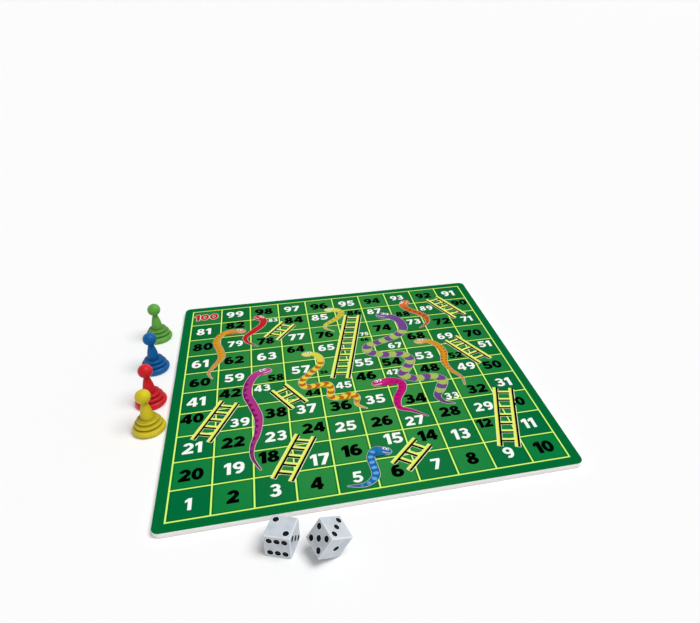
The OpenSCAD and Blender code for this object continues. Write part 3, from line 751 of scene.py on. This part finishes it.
# PAWNS
# Four pawns in glossy moulded plastic, hollow underneath: three rounded rings, a short
# body that narrows to a neck, and a ball. A fine line from the mould runs up two sides.
foot_r, mid_r, top_r, body_r = 11.39 * mm, 9.5 * mm, 7.6 * mm, 4.4 * mm
foot_h, mid_h, top_h = 5.4 * mm, 3.1 * mm, 2.8 * mm
neck_r, ball_r, pawn_h = 1.9 * mm, 5.3 * mm, 34.39 * mm
wall, rim_bevel, groove_share = 1.5 * mm, 0.3 * mm, 0.9
mid_z, top_z = foot_h, foot_h + mid_h
body_z, ball_z = foot_h + mid_h + top_h, pawn_h - ball_r
neck_z = ball_z - math.sqrt(ball_r ** 2 - neck_r ** 2)
body_steps, ball_steps = 14, 26
crease = math.radians(32)


def on_circle(radius, degrees):
    """How far out and how far up a point of a circle lies."""
    return radius * math.cos(math.radians(degrees)), radius * math.sin(math.radians(degrees))


def rounded(r, z, h):
    """The rim of a ring: an arc that bulges between two grooves."""
    arc = []
    for degrees in range(-70, 71, 10):
        out, up = on_circle(h / 2, degrees)
        arc.append((r - h / 2 + out, z + h / 2 + up))
    return arc


# The outline turned into a pawn: down the hollow, across the foot, and up to the ball's top.
hollow_r = foot_r - wall - foot_h / 2
pawn_line = [(body_r - wall, body_z - wall), (groove_share * top_r - wall, top_z)]
pawn_line += [(groove_share * mid_r - wall, mid_z), (hollow_r, rim_bevel), (hollow_r + rim_bevel, 0)]
pawn_line += [(foot_r - foot_h / 2, 0)] + rounded(foot_r, 0, foot_h)
pawn_line += [(groove_share * mid_r, mid_z)] + rounded(mid_r, mid_z, mid_h)
pawn_line += [(groove_share * top_r, top_z)] + rounded(top_r, top_z, top_h)
for k in range(body_steps):
    out = on_circle(body_r - neck_r, 90 * k / body_steps)[0]
    pawn_line.append((neck_r + out, body_z + (neck_z - body_z) * k / body_steps))
neck_angle = -math.degrees(math.acos(neck_r / ball_r))
for k in range(ball_steps):
    out, up = on_circle(ball_r, neck_angle + (90 - neck_angle) * k / ball_steps)
    pawn_line.append((out, ball_z + up))

bpy.ops.object.select_all(action="DESELECT")
bpy.ops.mesh.primitive_circle_add(vertices=96, radius=pawn_line[0][0], fill_type="TRIFAN",
                                  location=(0, 0, pawn_line[0][1]))
pawn_model = bpy.context.object
bpy.ops.object.mode_set(mode="EDIT")
bpy.ops.mesh.select_all(action="DESELECT")
bpy.ops.mesh.select_mode(type="EDGE")
bpy.ops.mesh.select_non_manifold()
for (r, z), (next_r, next_z) in zip(pawn_line, pawn_line[1:]):
    bpy.ops.mesh.extrude_region_move(TRANSFORM_OT_translate={"value": (0, 0, next_z - z)})
    bpy.ops.transform.resize(value=(next_r / r, next_r / r, 1), center_override=(0, 0, next_z))
bpy.ops.mesh.extrude_region_move(
    TRANSFORM_OT_translate={"value": (0, 0, pawn_h - pawn_line[-1][1])})
bpy.ops.mesh.merge(type="CENTER")
face_outwards()
bpy.ops.object.mode_set(mode="OBJECT")
bpy.ops.object.transform_apply(location=True, rotation=True, scale=True)
bpy.ops.object.shade_smooth_by_angle(angle=crease)


def pawn_plastic(name, tint, deep, middle):
    """Glossy moulded plastic with the mould's line, and painted shade in the grooves between the rings.
    """
    paint, tree, shader, place = blank(name, roughness=0.36, gloss=0.18)
    own = own_place(tree, place, (middle.x, middle.y, 0))
    y, z = axes(tree, own, "YZ")
    clouds = noise(tree, own, 7 * mm, 3)
    # Painted shade: the colour is darkened towards grey in the grooves between the rings.
    groove = 0.0
    for level in (mid_z, top_z, body_z):
        off = calc(tree, "ABSOLUTE", calc(tree, "SUBTRACT", z, level))
        groove = calc(tree, "MAXIMUM", groove, faded(tree, off, 0.1 * mm, 0.8 * mm))
    tone = mixed(tree, ramped(tree, clouds, 0.4, 0.8), tint, deep)
    shadow = calc(tree, "MULTIPLY", groove, 0.6)
    tone = mixed(tree, shadow, tone, (0.3, 0.28, 0.28, 1), "MULTIPLY")
    tree.links.new(tone, shader.inputs["Base Color"])
    wear = calc(tree, "MULTIPLY", noise(tree, own, 1.3 * mm, 4), 0.14)
    tree.links.new(calc(tree, "ADD", 0.3, wear), shader.inputs["Roughness"])
    seam = faded(tree, calc(tree, "ABSOLUTE", y), 0.04 * mm, 0.16 * mm)
    relief = calc(tree, "ADD", seam, calc(tree, "MULTIPLY", clouds, 0.5))
    roughen(tree, shader, relief, 0.05 * mm, 0.7)
    return paint


pawns = {
    "green_pawn": (srgb(99, 168, 68), srgb(88, 154, 57)),
    "blue_pawn": (srgb(0, 94, 162), srgb(0, 84, 148)),
    "red_pawn": (srgb(213, 30, 40), srgb(195, 22, 34)),
    "yellow_pawn": (srgb(214, 196, 32), srgb(202, 182, 27)),
}
for node, (tint, deep) in pawns.items():
    low, high = (Vector(corner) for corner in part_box(node))
    middle = (low + high) / 2
    pawn = placed(node + "_moulding", pawn_model.data.copy())
    pawn.location = (middle.x, middle.y, low.z)
    bpy.ops.object.transform_apply(location=True, rotation=True, scale=True)
    pawn.data.materials.append(pawn_plastic(node + "_plastic", tint, deep, middle))
    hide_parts(node)
    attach(pawn, node)
bpy.data.objects.remove(pawn_model)

# DICE
# Two dice of pale blue grey plastic, painted paler along their rounded edges as a highlight. Each
# spot is a small round pit, painted black inside, with a thin raised lip painted pale as a highlight.
die_w, spot_pitch, pit_r, pit_deep = 16 * mm, 4.48 * mm, 1.84 * mm, 0.49 * mm
dice = {"flat_die": (0, 0, -22), "rolling_die": (-159.5, -56.5, 3.5)}
face_turns = ((-90, 0, 0), (0, 0, 0), (0, 90, 0), (0, -90, 0), (180, 0, 0), (90, 0, 0))
spot_steps = (
    ((0, 0),),
    ((-1, 1), (1, -1)),
    ((-1, -1), (0, 0), (1, 1)),
    ((-1, -1), (-1, 1), (1, -1), (1, 1)),
    ((-1, -1), (-1, 1), (0, 0), (1, -1), (1, 1)),
    ((-1, -1), (0, -1), (1, -1), (-1, 1), (0, 1), (1, 1)),
)


def turned(turns):
    """The turn about X, then Y, then Z, in degrees."""
    return Euler([math.radians(turn) for turn in turns]).to_matrix().to_4x4()


def die_plastic(name, middle, turns, pale, deep):
    """Semi-gloss plastic with faint clouds and a soft grain, and a painted highlight along the die's
    edges.
    """
    paint, tree, shader, place = blank(name, roughness=0.32, gloss=0.45)
    own = own_place(tree, place, middle, [math.radians(turn) for turn in turns])
    x, y, z = (calc(tree, "ABSOLUTE", axis) for axis in axes(tree, own, "XYZ"))
    # Only along the edges is the second largest of the three also near half the width.
    larger = calc(tree, "MINIMUM", calc(tree, "MAXIMUM", x, y), z)
    second = calc(tree, "MAXIMUM", calc(tree, "MINIMUM", x, y), larger)
    clouds = noise(tree, own, 6 * mm, 3)
    fine = noise(tree, own, 0.6 * mm, 3)
    # Painted highlight: the colour turns paler along the die's rounded edges.
    edge_highlight = calc(tree, "MULTIPLY", ramped(tree, second, 7.0 * mm, 7.7 * mm), 0.7)
    tone = mixed(tree, ramped(tree, clouds, 0.35, 0.75), pale, deep)
    tone = mixed(tree, edge_highlight, tone, srgb(228, 233, 238))
    tree.links.new(tone, shader.inputs["Base Color"])
    grain = calc(tree, "ADD", 0.26, calc(tree, "MULTIPLY", fine, 0.14))
    tree.links.new(grain, shader.inputs["Roughness"])
    relief = calc(tree, "ADD", clouds, calc(tree, "MULTIPLY", fine, 0.3))
    roughen(tree, shader, relief, 0.03 * mm, 0.6)
    return paint


# One spot, its outline turned from the pit's wall over the lip and down to the painted floor.
# What lies below the die's face goes to the second material, which is the paint.
bpy.ops.object.select_all(action="DESELECT")
bpy.ops.mesh.primitive_circle_add(vertices=32, radius=pit_r, fill_type="NGON",
                                  location=(0, 0, -pit_deep))
spot_model = bpy.context.object
spot_model.data.materials.append(None)
spot_model.data.materials.append(None)
spot_line = [(pit_r, -pit_deep), (pit_r, 0.004 * mm)]
spot_line += [(2.18 * mm, 0.006 * mm), (2.1 * mm, 0.018 * mm), (1.88 * mm, 0.012 * mm)]
spot_line += [(1.81 * mm, -0.03 * mm), (1.77 * mm, -0.26 * mm), (1.3 * mm, -0.3 * mm)]
bpy.ops.object.mode_set(mode="EDIT")
bpy.ops.mesh.select_all(action="SELECT")
for (r, z), (next_r, next_z) in zip(spot_line, spot_line[1:]):
    bpy.ops.mesh.extrude_region_move(TRANSFORM_OT_translate={"value": (0, 0, next_z - z)})
    bpy.ops.transform.resize(value=(next_r / r, next_r / r, 1), center_override=(0, 0, next_z))
    if next_z < 0:
        bpy.ops.mesh.select_more()
        spot_model.active_material_index = 1
        bpy.ops.object.material_slot_assign()
        bpy.ops.mesh.select_less()
face_outwards()
bpy.ops.object.mode_set(mode="OBJECT")
bpy.ops.object.transform_apply(location=True, rotation=True, scale=True)
bpy.ops.object.shade_smooth_by_angle(angle=crease)

spot_black = ink("spot_paint", srgb(5, 5, 8), 0.7, 0.1)
for node, turns in dice.items():
    low, high = (Vector(corner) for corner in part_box(node))
    middle = (low + high) / 2
    dress(node, die_plastic(node + "_plastic", middle, turns, srgb(200, 207, 214), srgb(184, 192, 201)))
    # The lips take a paler copy of the die's plastic, a painted highlight round each spot.
    lip = die_plastic(node + "_lip_highlight_plastic", middle, turns, srgb(232, 237, 242), srgb(222, 228, 234))
    spots = []
    for face_turn, steps in zip(face_turns, spot_steps):
        face = Matrix.Translation(middle) @ turned(turns) @ turned(face_turn)
        # On a face that lies on the table the lips are set in, so that they don't stand out.
        sunk = 0.02 * mm if face.to_3x3().col[2].z < -0.99 else 0
        for across, up in steps:
            spot = placed(node + "_painted_spots", spot_model.data.copy())
            step = Matrix.Translation((across * spot_pitch, up * spot_pitch, die_w / 2 - sunk))
            spot.matrix_world = face @ step
            spot.data.materials[0] = lip
            spot.data.materials[1] = spot_black
            spots.append(spot)
    bpy.context.view_layer.update()
    bpy.ops.object.select_all(action="DESELECT")
    for spot in spots:
        spot.select_set(True)
    bpy.context.view_layer.objects.active = spots[0]
    bpy.ops.object.join()
    spots = bpy.context.object
    bpy.ops.object.transform_apply(location=True, rotation=True, scale=True)
    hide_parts(node + "_spots")
    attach(spots, node)
bpy.data.objects.remove(spot_model)
